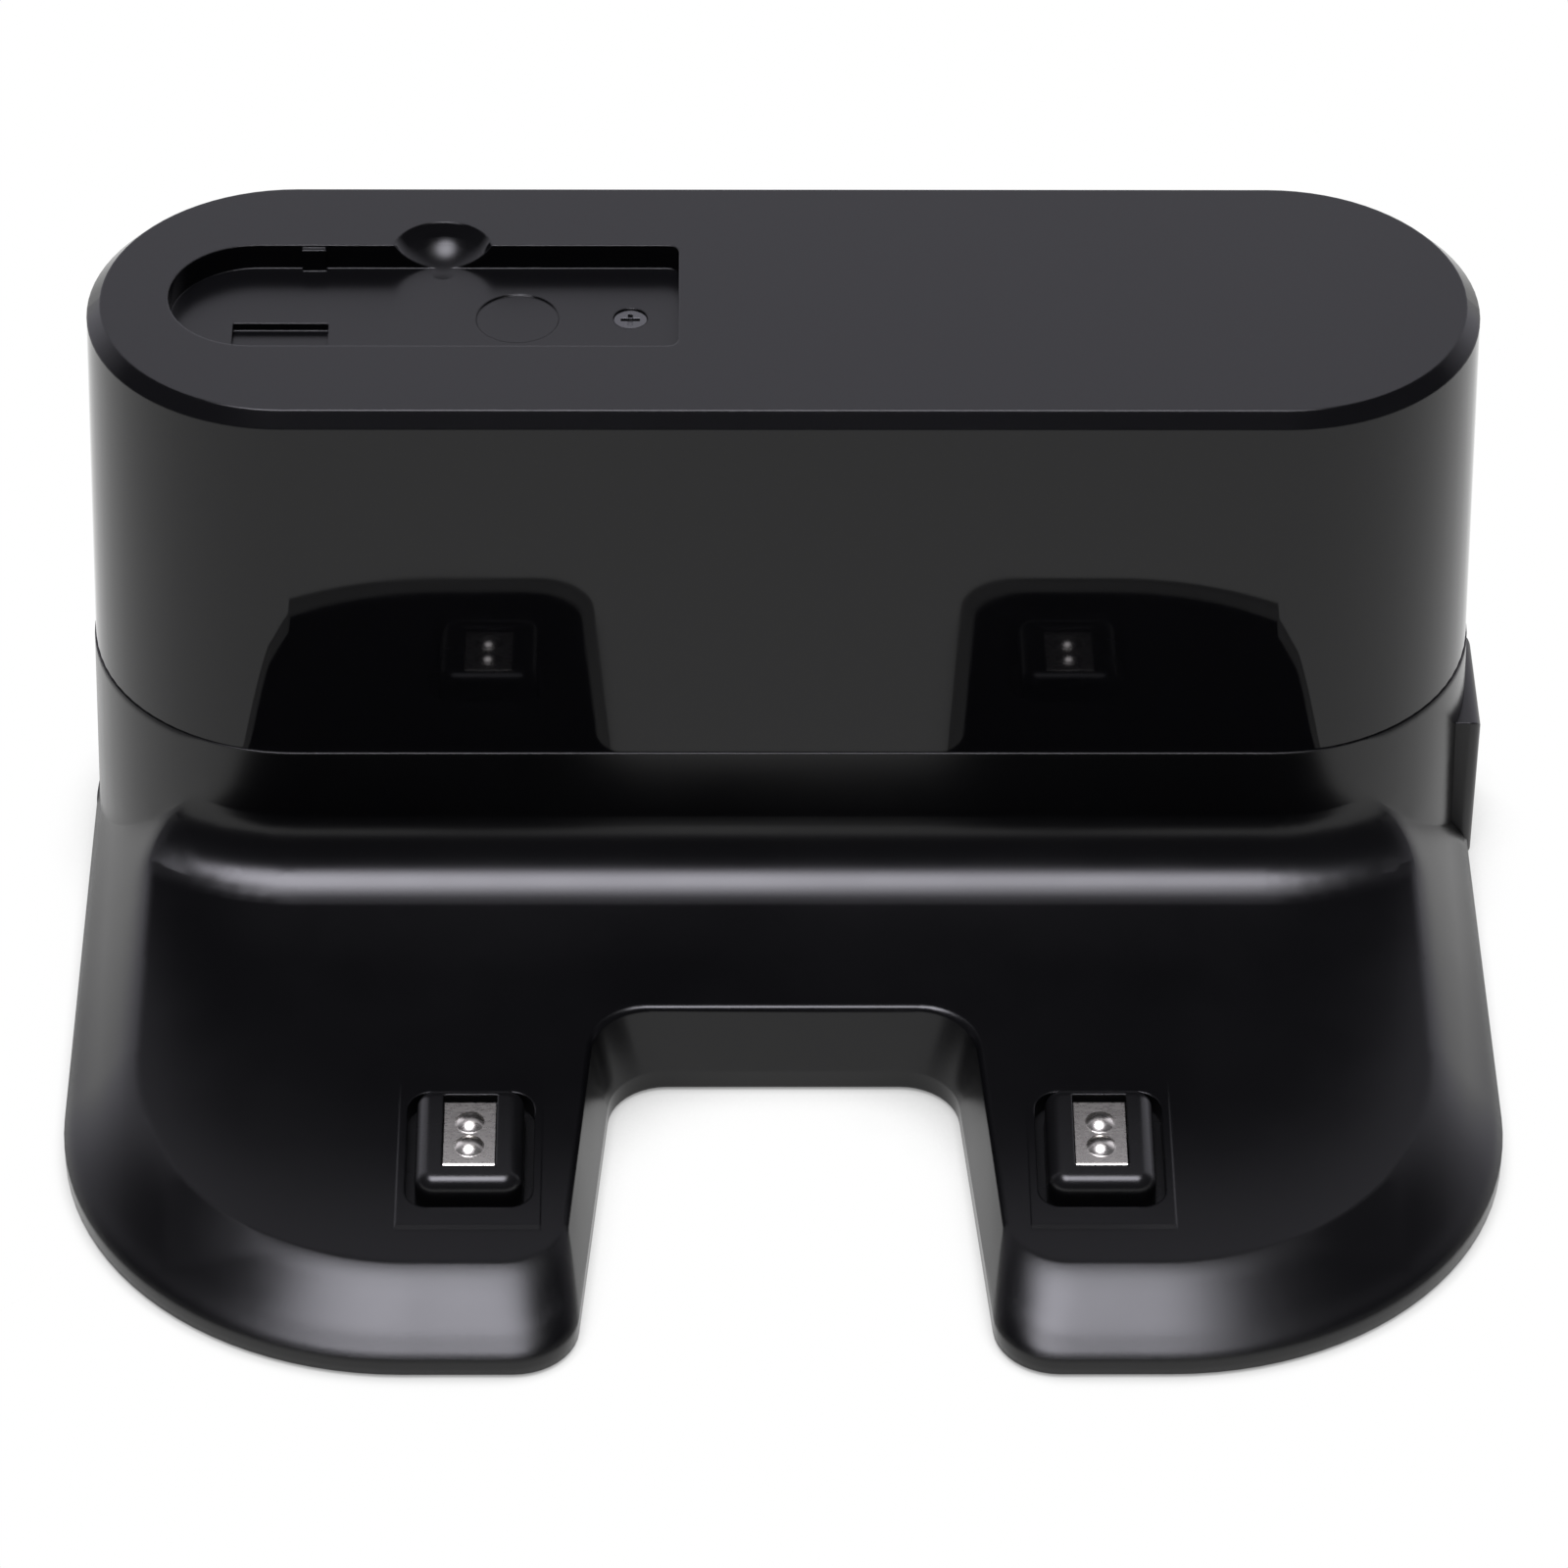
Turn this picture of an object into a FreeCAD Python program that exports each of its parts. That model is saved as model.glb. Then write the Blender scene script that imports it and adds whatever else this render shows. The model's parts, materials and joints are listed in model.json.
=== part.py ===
import FreeCAD, Part
import math
import os
import re
from types import SimpleNamespace
from FreeCAD import Placement, Rotation, Vector

os.makedirs("parts", exist_ok=True)
doc = FreeCAD.newDocument("ChargingDock")
sheet = doc.addObject("Spreadsheet::Sheet", "Sizes")

# Driving dimensions in millimetres and degrees. The floor is z = 0, the tower's plan centre is x = y = 0,
# and the lobes reach towards -Y.
SIZES = {
    # Tower
    "total_height": 83.5,
    "tower_half_length": 87.5,
    "tower_half_width": 25.5,
    "top_chamfer": 1.75,
    "draft_angle": 1.65,
    "seam_height": 31.8,
    "seam_step": 0.15,
    "casing_wall": 2.4,
    "lip_depth": 3.0,
    "lip_wall": 1.4,
    "lip_gap": 0.2,
    # Base and its lobes
    "foot_stand": 0.6,
    "rim_height": 2.6,
    "rim_step": 0.5,
    "base_half_width": 90.25,
    "base_front": 108.1,
    "base_corner": 43.5,
    "band_run": 8.75,
    "slope_run": 11.2,
    "crest_corner": 36.0,
    "crest_round": 0.8,
    "ramp_front_height": 8.4,
    "ramp_angle": 4.7,
    "notch_half_width": 21.6,
    "notch_back": 55.7,
    "notch_lean": 2.2,
    "notch_flare": 4.6,
    "notch_corner": 7.5,
    "lobe_corner": 8.0,
    "cove_radius": 8.5,
    # Bottom plate, feet and base screws
    "plate_thickness": 2.0,
    "plate_gap": 0.2,
    "pad_radius": 5.0,
    "pad_height": 1.6,
    "pad_side_inset": 24.25,
    "pad_front_inset": 22.1,
    "pad_end_inset": 15.5,
    "pad_back_y": 2.0,
    "boss_radius": 3.5,
    "boss_side_inset": 17.25,
    "boss_front_inset": 46.1,
    "boss_end_inset": 29.5,
    "boss_wall_inset": 3.1,
    "boss_back_top": 22.0,
    "screw_head_radius": 2.1,
    "screw_head_height": 1.0,
    "screw_shank_radius": 1.1,
    "screw_length": 6.0,
    "screw_gap": 0.05,
    "cross_width": 0.6,
    "cross_length": 2.4,
    "cross_depth": 0.6,
    # Tool pocket in the top
    "pocket_end_inset": 10.2,
    "pocket_right": 13.2,
    "pocket_front": 10.3,
    "pocket_back": 11.3,
    "pocket_depth": 3.5,
    "pocket_corner": 1.5,
    "tray_wall": 2.5,
    "recess_left": 69.2,
    "recess_right": 57.2,
    "recess_back": 0.75,
    "recess_depth": 1.1,
    "rib_left": 60.9,
    "rib_width": 3.0,
    "rib_depth": 0.65,
    "rib_drop": 0.35,
    "scoop_x": 43.1,
    "scoop_y": 10.2,
    "scoop_radius": 7.35,
    "scoop_depth": 3.65,
    "mark_x": 33.5,
    "mark_radius": 5.2,
    "mark_depth": 0.2,
    "pocket_screw_x": 19.3,
    "pocket_screw_y": 0.4,
    "post_radius": 3.4,
    # Charging contacts
    "contact_notch_inset": 17.35,
    "contact_front_inset": 30.25,
    "contact_angle": 5.1,
    "opening_half_width": 7.9,
    "opening_half_length": 9.7,
    "opening_corner": 3.0,
    "collar_half_width": 8.9,
    "collar_front": 13.45,
    "collar_back": 12.0,
    "collar_height": 0.15,
    "collar_slope": 0.9,
    "block_gap": 1.25,
    "block_top": 12.7,
    "block_bottom": 5.3,
    "block_corner": 2.4,
    "block_round": 2.0,
    "flange_reach": 2.35,
    "flange_gap": 0.2,
    "plate_half_width": 3.2,
    "plate_length": 10.8,
    "plate_offset": 0.2,
    "plate_sheet": 1.0,
    "plate_sunk": 1.45,
    "plate_round": 0.8,
    "slot_gap": 0.15,
    "slot_back_gap": 0.9,
    "dome_radius": 1.8,
    "dome_height": 0.75,
    "dome_spacing": 3.95,
    "spring_radius": 2.9,
    "spring_wire": 0.35,
    "spring_turns": 5.0,
    "spring_top": 9.4,
    "spring_room": 0.5,
    "terminal_half_width": 3.6,
    "terminal_front": 4.5,
    "terminal_tail": 20.0,
    "terminal_sheet": 0.5,
    "pin_height": 2.5,
    "lead_radius": 0.7,
    # Board and its emitters
    "board_end_inset": 35.5,
    "board_low": 36.0,
    "board_high": 62.0,
    "board_front": 8.0,
    "board_thickness": 1.6,
    "board_screw_inset": 6.0,
    "emitter_near_x": 8.0,
    "emitter_inset": 8.0,
    "emitter_radius": 2.5,
    "emitter_length": 4.6,
    "emitter_gap": 0.3,
    "baffle_inset": 8.0,
    "baffle_half_height": 5.0,
    "baffle_depth": 3.6,
    # Power inlet on the right end
    "inlet_stand": 0.75,
    "inlet_depth": 11.0,
    "inlet_half_width": 9.5,
    "inlet_top": 22.6,
    "inlet_round": 1.5,
    "inlet_gap": 0.2,
    "jack_height": 12.0,
    "jack_radius": 4.0,
    "jack_length": 15.0,
    "jack_bore": 2.8,
    "jack_bore_depth": 10.0,
    "jack_pin_radius": 1.0,
    "power_lead_radius": 1.2,
}
# Places that follow the sizes of what they sit on
TIED = {
    "crest_half_width": "base_half_width - band_run",
    "crest_front": "base_front - slope_run",
    "pad_front_x": "base_half_width - pad_side_inset",
    "pad_front_y": "base_front - pad_front_inset",
    "pad_back_x": "tower_half_length - pad_end_inset",
    "boss_front_x": "base_half_width - boss_side_inset",
    "boss_front_y": "base_front - boss_front_inset",
    "boss_back_x": "tower_half_length - boss_end_inset",
    "boss_back_y": "tower_half_width - boss_wall_inset",
    "pocket_left": "tower_half_length - pocket_end_inset",
    "contact_x": "notch_half_width + contact_notch_inset",
    "contact_y": "base_front - contact_front_inset",
    "board_half_length": "tower_half_length - board_end_inset",
    "board_screw_x": "board_half_length - board_screw_inset",
    "baffle_half_length": "board_screw_x - baffle_inset",
    "emitter_far_x": "baffle_half_length - emitter_inset",
    "tower_foot_end": "tower_half_length + (total_height - top_chamfer) * tan(draft_angle)",
    "end_reach": "max(tower_foot_end; base_half_width)",
    "inlet_face": "end_reach + inlet_stand",
}
for row, (alias, value) in enumerate({**SIZES, **TIED}.items(), 1):
    sheet.set(f"A{row}", alias)
    sheet.set(f"B{row}", f"={value}")
    sheet.setAlias(f"B{row}", alias)
doc.recompute()
ALIASES = {*SIZES, *TIED}
S = SimpleNamespace(**{alias: float(sheet.get(alias)) for alias in ALIASES})

# Plain overlap that lets a tool pass right through what it cuts
PAST = 1.0
# Sides of the dock as the viewer sees them
SIDES = {"left": -1, "right": 1}
TURNS = {
    "x": Rotation(Vector(0, 1, 0), 90),
    "y": Rotation(Vector(1, 0, 0), -90),
    "z": Rotation(),
}
nodes = []


# Document helpers

def bound(text):
    """Turn plain size names in an expression into references to the sheet."""
    return re.sub(r"[a-z_]+", lambda word: f"Sizes.{word[0]}" if word[0] in ALIASES else word[0], str(text))


def set_place(item, start, axis="z"):
    item.Placement = Placement(Vector(), TURNS[axis])
    for corner, text in zip("xyz", start):
        item.setExpression(f"Placement.Base.{corner}", bound(text))


def box(name, x_span, y_span, z_span):
    item = doc.addObject("Part::Box", name)
    spans = (x_span, y_span, z_span)
    for side, (low, high) in zip(("Length", "Width", "Height"), spans):
        item.setExpression(side, bound(f"({high}) - ({low})"))
    set_place(item, [span[0] for span in spans])
    return item


def cylinder(name, radius, length, start, axis="z"):
    item = doc.addObject("Part::Cylinder", name)
    item.setExpression("Radius", bound(radius))
    item.setExpression("Height", bound(length))
    set_place(item, start, axis)
    return item


def sphere(name, radius, centre):
    item = doc.addObject("Part::Sphere", name)
    item.setExpression("Radius", bound(radius))
    set_place(item, centre)
    return item


def solid(name, shape):
    """Keep a shape that the primitives can't give as a document object."""
    item = doc.addObject("Part::Feature", name)
    item.Shape = shape
    return item


def fuse(name, pieces):
    item = doc.addObject("Part::MultiFuse", name)
    item.Shapes = pieces
    return item


def cut(name, base, tools):
    item = doc.addObject("Part::Cut", name)
    item.Base = base
    item.Tool = tools[0] if len(tools) == 1 else fuse(f"{name}_tools", tools)
    return item


def node(item, label):
    item.Label = label
    nodes.append(item)


# Plan outlines and heights

def bend(before, corner, after):
    """Start, middle and end of the arc that rounds one plan corner (x, y, radius)."""
    point = Vector(corner[0], corner[1], 0)
    to_before = (Vector(before[0], before[1], 0) - point).normalize()
    to_after = (Vector(after[0], after[1], 0) - point).normalize()
    half_angle = to_before.getAngle(to_after) / 2
    reach = corner[2] / math.tan(half_angle)
    inward = (to_before + to_after).normalize()
    middle = point + inward * (corner[2] / math.sin(half_angle) - corner[2])
    return point + to_before * reach, middle, point + to_after * reach


def rounded_wire(corners, height_at):
    """Closed wire round plan corners (x, y, radius), lifted to a level or sloping plane."""
    count = len(corners)
    bends = [bend(corners[i - 1], corners[i], corners[(i + 1) % count]) for i in range(count)]
    lifted = [[Vector(p.x, p.y, height_at(p.y)) for p in points] for points in bends]
    edges = []
    for index, (start, middle, end) in enumerate(lifted):
        if start.distanceToPoint(end) > 1e-6:
            edges.append(Part.Arc(start, middle, end).toShape())
        following = lifted[(index + 1) % count][0]
        if end.distanceToPoint(following) > 1e-6:
            edges.append(Part.makeLine(end, following))
    return Part.Wire(edges)


def level(height):
    return lambda y: height


def ramp(y):
    """Height of the ramp at a place along the dock."""
    return S.ramp_front_height + (y + S.crest_front) * math.tan(math.radians(S.ramp_angle))


def block_top(y):
    """Height of the contact block's tilted top."""
    return S.block_top + (y + S.contact_y) * math.tan(math.radians(S.contact_angle))


def draft(height):
    """How much wider the tower is at a height than at its top chamfer."""
    return (S.total_height - S.top_chamfer - height) * math.tan(math.radians(S.draft_angle))


def stadium(offset, height):
    """Round-ended tower outline, moved out from the chamfer's lower edge by an offset."""
    length = S.tower_half_length + offset
    width = S.tower_half_width + offset
    corners = [(length, -width, width), (length, width, width),
               (-length, width, width), (-length, -width, width)]
    return rounded_wire(corners, level(height))


def tower(extra, low, high):
    """Solid tower stretch between two heights that keeps the draft, with an extra offset."""
    ends = [stadium(draft(height) + extra, height) for height in (low, high)]
    return Part.makeLoft(ends, True, True)


def base_corners(inset, half_width, front, corner, lean):
    """Plan corners of both lobes and the notch. The back edge stays inside the tower."""
    back = S.notch_back - lean - inset
    near = S.notch_half_width + lean + inset
    reach = front - inset
    far = near + (reach - back) * math.tan(math.radians(S.notch_flare))
    right = [(half_width - inset, 0, 0), (half_width - inset, -reach, corner - inset),
             (far, -reach, S.lobe_corner - inset), (near, -back, S.notch_corner + inset)]
    left = [(-x, y, radius) for x, y, radius in reversed(right)]
    return right + left


def foot_wire(inset, height):
    """Outline of the lobes at the rim."""
    corners = base_corners(inset, S.base_half_width, S.base_front, S.base_corner, 0)
    return rounded_wire(corners, level(height))


def crest_wire(inset, drop):
    """Outline of the lobes on the sloping ramp, or on a plane below it."""
    corners = base_corners(inset, S.crest_half_width, S.crest_front, S.crest_corner, S.notch_lean)
    return rounded_wire(corners, lambda y: ramp(y) - drop)


def prism(profile, x_low, x_high):
    """Solid from a side profile of (y, z) points, drawn out along X."""
    points = [Vector(x_low, y, z) for y, z in profile]
    face = Part.Face(Part.makePolygon(points + points[:1]))
    return face.extrude(Vector(x_high - x_low, 0, 0))


def upright_edges(shape):
    """Straight upright edges of a shape."""
    chosen = []
    for edge in shape.Edges:
        first, last = edge.Vertexes[0].Point, edge.Vertexes[-1].Point
        if abs(first.x - last.x) + abs(first.y - last.y) < 1e-6:
            chosen.append(edge)
    return chosen


# Lower casing

RIM_TOP = S.foot_stand + S.rim_height
PLATE_TOP = S.foot_stand + S.plate_thickness
# The cove stops this little inside the sloped sides, so that no two faces coincide
BAND_INSIDE = 0.02


def lobes_shape():
    """Sloped band from the rim up to the ramp, with its crest rounded."""
    body = Part.makeLoft([foot_wire(0, RIM_TOP), crest_wire(0, 0)], True, True)
    crest = [edge for edge in body.Edges
             if all(abs(v.Z - ramp(v.Y)) < 1e-4 for v in edge.Vertexes)
             and max(v.Y for v in edge.Vertexes) < -PAST]
    return body.makeFillet(S.crest_round, crest)


def cove_shape(tower_foot):
    """Round inside corner between the ramp and the tower, trimmed to the sloped side bands."""
    far = 2 * S.base_half_width
    slab = prism([(-far, 0), (far, 0), (far, ramp(far)), (-far, ramp(-far))], -far, far)
    joined = slab.fuse(tower_foot).removeSplitter()
    corner = [edge for edge in joined.Edges
              if all(abs(v.Z - ramp(v.Y)) < 1e-3 and abs(v.X) < S.base_half_width for v in edge.Vertexes)]
    rounded = joined.makeFillet(S.cove_radius, corner)
    return rounded.common(side_bands())


def side_bands():
    """Solid between the two sloped sides, carried on above the ramp and past the cove's foot."""
    cove_foot = S.tower_half_width + draft(RIM_TOP) + 2 * S.cove_radius
    ring = ((1, 0), (1, -cove_foot), (-1, -cove_foot), (-1, 0))
    low = [(x * (S.base_half_width - BAND_INSIDE), y, RIM_TOP) for x, y in ring]
    high = [(x * (S.crest_half_width - S.band_run - BAND_INSIDE), y, 2 * ramp(y) - RIM_TOP) for x, y in ring]
    wires = [Part.makePolygon([Vector(*p) for p in points + points[:1]]) for points in (low, high)]
    return Part.makeLoft(wires, True, True)


def collar_shape(side):
    """Low wedge that frames a contact opening, proud at the front and level at the back."""
    front = -(S.contact_y + S.collar_front)
    lip = front + S.collar_slope
    back = -(S.contact_y - S.collar_back)
    profile = [(front, ramp(front) - PAST), (front, ramp(front)), (lip, ramp(lip) + S.collar_height),
               (back, ramp(back)), (back, ramp(back) - PAST)]
    centre = side * S.contact_x
    return prism(profile, centre - S.collar_half_width, centre + S.collar_half_width)


def opening_shape(side):
    """Rounded opening that a contact block moves in."""
    width, length = S.opening_half_width, S.opening_half_length
    centre = side * S.contact_x
    corners = [(centre + x * width, -S.contact_y + y * length, S.opening_corner)
               for x, y in ((1, -1), (1, 1), (-1, 1), (-1, -1))]
    face = Part.Face(rounded_wire(corners, level(PLATE_TOP)))
    return face.extrude(Vector(0, 0, S.seam_height))


def lower_hollow():
    """Inside of the lower casing, open to the bottom and to the tower."""
    wall = S.casing_wall
    lobes = Part.makeLoft([foot_wire(wall, RIM_TOP), crest_wire(wall, wall)], True, True)
    mouth = Part.Face(foot_wire(wall, S.foot_stand - PAST)).extrude(Vector(0, 0, S.rim_height + PAST))
    inside = tower(S.seam_step - wall, S.foot_stand - PAST, S.seam_height + PAST)
    rebate = tower(S.seam_step + S.lip_wall - wall - S.lip_gap, S.seam_height - S.lip_depth - S.lip_gap,
                   S.seam_height + PAST)
    return lobes.fuse([mouth, inside, rebate])


def boss_places():
    """Plan places of the four base screws, named as the viewer sees them."""
    for name, side in SIDES.items():
        mark = "-" if side < 0 else ""
        yield f"front_{name}", f"{mark}boss_front_x", "-boss_front_y"
        yield f"back_{name}", f"{mark}boss_back_x", "boss_back_y"


def make_lower_casing():
    tower_foot = tower(S.seam_step, S.foot_stand, S.seam_height)
    rim = Part.Face(foot_wire(0, S.foot_stand)).extrude(Vector(0, 0, S.rim_height))
    skirt = Part.Face(stadium(draft(S.foot_stand) + S.rim_step, S.foot_stand))
    skirt = skirt.extrude(Vector(0, 0, S.rim_height))
    collars = [collar_shape(side) for side in SIDES.values()]
    outside = lobes_shape().fuse([rim, skirt, tower_foot, cove_shape(tower_foot)] + collars)
    shell = cut("lower_shell", solid("lower_outside", outside), [solid("lower_hollow", lower_hollow())])
    bosses = []
    pilots = []
    floor = "foot_stand + plate_thickness"
    for name, x, y in boss_places():
        under_ramp = ramp(-S.boss_front_y) - S.casing_wall / 2
        top = under_ramp if name.startswith("front") else "boss_back_top"
        bosses.append(cylinder(f"boss_{name}", "boss_radius", f"{top} - ({floor})", (x, y, floor)))
        pilots.append(cylinder(f"pilot_{name}", "screw_shank_radius + screw_gap", f"screw_length + {PAST}",
                               (x, y, f"{floor} - {PAST}")))
    openings = [solid(f"contact_opening_{name}", opening_shape(side)) for name, side in SIDES.items()]
    inlet = box("inlet_cut", ("inlet_face - inlet_depth", f"inlet_face + {PAST}"),
                ("-(inlet_half_width + inlet_gap)", "inlet_half_width + inlet_gap"),
                (f"foot_stand - {PAST}", "inlet_top + inlet_gap"))
    jack = cylinder("jack_clearance", "jack_radius + inlet_gap", "jack_length + inlet_gap",
                    ("inlet_face - jack_length - inlet_gap", "0", "jack_height"), "x")
    whole = fuse("lower_whole", [shell] + bosses)
    node(cut("lower_casing", whole, pilots + openings + [inlet, jack]), "lower_casing")


# Bottom plate, feet and base screws

def foot_pads():
    """Plan places of the four rubber feet."""
    for name, side in SIDES.items():
        mark = "-" if side < 0 else ""
        yield f"front_{name}", f"{mark}pad_front_x", "-pad_front_y"
        yield f"back_{name}", f"{mark}pad_back_x", "pad_back_y"


def plate_shape():
    """Flat plate that fills the casing's mouth with a small gap all round."""
    inset = S.casing_wall + S.plate_gap
    lobes = Part.Face(foot_wire(inset, S.foot_stand))
    foot = Part.Face(stadium(draft(PLATE_TOP) + S.seam_step - inset, S.foot_stand))
    lift = Vector(0, 0, S.plate_thickness)
    return lobes.extrude(lift).fuse(foot.extrude(lift)).removeSplitter()


def make_bottom_plate():
    floor = "foot_stand + plate_thickness"
    tray_floor = "total_height - pocket_depth - tray_wall"
    post = cylinder("screw_post", "post_radius", f"{tray_floor} - foot_stand",
                    ("-pocket_screw_x", "pocket_screw_y", "foot_stand"))
    pins = []
    for name, side in SIDES.items():
        pins.append(cylinder(f"spring_pin_{name}", "spring_radius - spring_wire - spring_room", "pin_height",
                             (f"{side} * contact_x", "-contact_y", floor)))
    whole = fuse("plate_whole", [solid("plate_sheet_body", plate_shape()), post] + pins)
    tools = [cylinder("post_pilot", "screw_shank_radius + screw_gap", f"screw_length + {PAST}",
                      ("-pocket_screw_x", "pocket_screw_y", f"{tray_floor} - screw_length"))]
    for name, x, y in foot_pads():
        tools.append(cylinder(f"pad_seat_{name}", "pad_radius + screw_gap",
                              f"pad_height - foot_stand + {PAST}", (x, y, f"foot_stand - {PAST}")))
    for name, x, y in boss_places():
        tools.append(cylinder(f"screw_way_{name}", "screw_shank_radius + screw_gap",
                              f"plate_thickness + {2 * PAST}", (x, y, f"foot_stand - {PAST}")))
        tools.append(cylinder(f"head_seat_{name}", "screw_head_radius + plate_gap",
                              f"screw_head_height + {PAST}", (x, y, f"foot_stand - {PAST}")))
    node(cut("bottom_plate", whole, tools), "bottom_plate")


def make_feet():
    for name, x, y in foot_pads():
        node(cylinder(f"foot_{name}", "pad_radius", "pad_height", (x, y, "0")), f"foot_{name}")


def cross_recess(name, x, y, face, down):
    """Two crossed slots cut into a screw head from its outer face."""
    if down:
        depth = (f"{face} - cross_depth", f"{face} + {PAST}")
    else:
        depth = (f"{face} - {PAST}", f"{face} + cross_depth")
    along = (f"{x} - cross_length / 2", f"{x} + cross_length / 2")
    across = (f"{y} - cross_length / 2", f"{y} + cross_length / 2")
    thin_x = (f"{x} - cross_width / 2", f"{x} + cross_width / 2")
    thin_y = (f"{y} - cross_width / 2", f"{y} + cross_width / 2")
    return [box(f"{name}_slot_x", along, thin_y, depth), box(f"{name}_slot_y", thin_x, across, depth)]


def make_base_screws():
    for name, x, y in boss_places():
        label = f"base_screw_{name}"
        head = cylinder(f"{label}_head", "screw_head_radius", "screw_head_height", (x, y, "foot_stand"))
        shank = cylinder(f"{label}_shank", "screw_shank_radius",
                         "plate_thickness - screw_head_height + screw_length - plate_gap",
                         (x, y, "foot_stand + screw_head_height"))
        whole = fuse(f"{label}_whole", [head, shank])
        node(cut(label, whole, cross_recess(label, x, y, "foot_stand", False)), label)


# Upper casing and its pocket screw

def pocket_face(height):
    """Outline of the tool pocket, round at its left end."""
    half = (S.pocket_front + S.pocket_back) / 2
    corners = [(-S.pocket_right, -S.pocket_front, S.pocket_corner),
               (-S.pocket_right, S.pocket_back, S.pocket_corner),
               (-S.pocket_left, S.pocket_back, half), (-S.pocket_left, -S.pocket_front, half)]
    return Part.Face(rounded_wire(corners, level(height)))


def upper_shell():
    """Drafted shell with a chamfered top and a lip that drops inside the lower casing."""
    shoulder = S.total_height - S.top_chamfer
    skin = tower(0, S.seam_height, shoulder)
    crown = Part.makeLoft([stadium(0, shoulder), stadium(-S.top_chamfer, S.total_height)], True, True)
    hollow = tower(-S.casing_wall, S.seam_height - PAST, S.total_height - S.casing_wall)
    lip_out = S.lip_wall - S.casing_wall - 2 * S.lip_gap
    low, high = S.seam_height - S.lip_depth, S.seam_height + S.lip_depth
    lip = tower(lip_out, low, high)
    lip_hollow = tower(lip_out - S.lip_wall, low - PAST, high + PAST)
    return skin.fuse(crown).cut(hollow).fuse(lip.cut(lip_hollow))


def make_upper_casing():
    floor = "total_height - pocket_depth"
    under = f"{floor} - tray_wall"
    tray_face = pocket_face(S.total_height - S.pocket_depth - S.tray_wall)
    tray_rim = tray_face.makeOffset2D(S.tray_wall)
    tray = solid("tray", tray_rim.extrude(Vector(0, 0, S.pocket_depth + S.tray_wall - S.casing_wall / 2)))
    bowl = cylinder("scoop_backing", "scoop_radius + tray_wall",
                    "scoop_depth + tray_wall - casing_wall / 2",
                    ("-scoop_x", "scoop_y", "total_height - scoop_depth - tray_wall"))
    bosses = []
    tools = []
    middle = "(board_low + board_high) / 2"
    wall_depth = "tower_half_width - casing_wall / 2"
    for name, side in SIDES.items():
        start = (f"{side} * board_screw_x", "board_front + board_thickness", middle)
        bosses.append(cylinder(f"board_boss_{name}", "boss_radius",
                               f"{wall_depth} - board_front - board_thickness", start, "y"))
        tools.append(cylinder(f"board_pilot_{name}", "screw_shank_radius + screw_gap",
                              "screw_length", start, "y"))
    pocket = pocket_face(S.total_height - S.pocket_depth).extrude(Vector(0, 0, S.pocket_depth + PAST))
    rib = box("wall_rib", ("-rib_left", "rib_width - rib_left"),
              ("pocket_back - rib_depth", f"pocket_back + {PAST}"),
              (f"{floor} - {PAST}", "total_height - rib_drop"))
    tools += [
        cut("pocket_round_rib", solid("pocket", pocket), [rib]),
        box("floor_recess", ("-recess_left", "-recess_right"), ("-pocket_front", "-recess_back"),
            (f"{floor} - recess_depth", f"{floor} + {PAST}")),
        sphere("finger_scoop", "scoop_radius",
               ("-scoop_x", "scoop_y", "total_height + scoop_radius - scoop_depth")),
        cylinder("floor_mark", "mark_radius", f"mark_depth + {PAST}",
                 ("-mark_x", "pocket_screw_y", f"{floor} - mark_depth")),
        cylinder("pocket_screw_seat", "screw_head_radius + screw_gap",
                 f"screw_head_height + mark_depth + {PAST}",
                 ("-pocket_screw_x", "pocket_screw_y", f"{floor} - screw_head_height - mark_depth")),
        cylinder("pocket_screw_way", "screw_shank_radius + screw_gap", f"tray_wall + {PAST}",
                 ("-pocket_screw_x", "pocket_screw_y", f"{under} - {PAST}")),
    ]
    whole = fuse("upper_whole", [solid("upper_shell", upper_shell()), tray, bowl] + bosses)
    node(cut("upper_casing", whole, tools), "upper_casing")


def make_pocket_screw():
    x, y = "-pocket_screw_x", "pocket_screw_y"
    face = "total_height - pocket_depth - mark_depth"
    head = cylinder("pocket_screw_head", "screw_head_radius", "screw_head_height",
                    (x, y, f"{face} - screw_head_height"))
    length = "tray_wall - screw_head_height - mark_depth + screw_length - plate_gap"
    shank = cylinder("pocket_screw_shank", "screw_shank_radius", length,
                     (x, y, f"{face} - screw_head_height - ({length})"))
    whole = fuse("pocket_screw_whole", [head, shank])
    node(cut("pocket_screw", whole, cross_recess("pocket_screw", x, y, face, True)), "pocket_screw")


# Charging contacts

BLOCK_HALF_WIDTH = S.opening_half_width - S.block_gap
BLOCK_FRONT = -(S.contact_y + S.opening_half_length - S.block_gap)
BLOCK_BACK = -(S.contact_y - S.opening_half_length + S.block_gap)
CONTACT_PLATE_BACK = -(S.contact_y - S.plate_offset - S.plate_length / 2)
CONTACT_PLATE_FRONT = CONTACT_PLATE_BACK - S.plate_length


def strip(front, back, top, bottom):
    """Side profile of a strip that follows the block's tilted top, between two depths below it."""
    return [(front, block_top(front) - bottom), (front, block_top(front) - top),
            (back, block_top(back) - top), (back, block_top(back) - bottom)]


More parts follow.
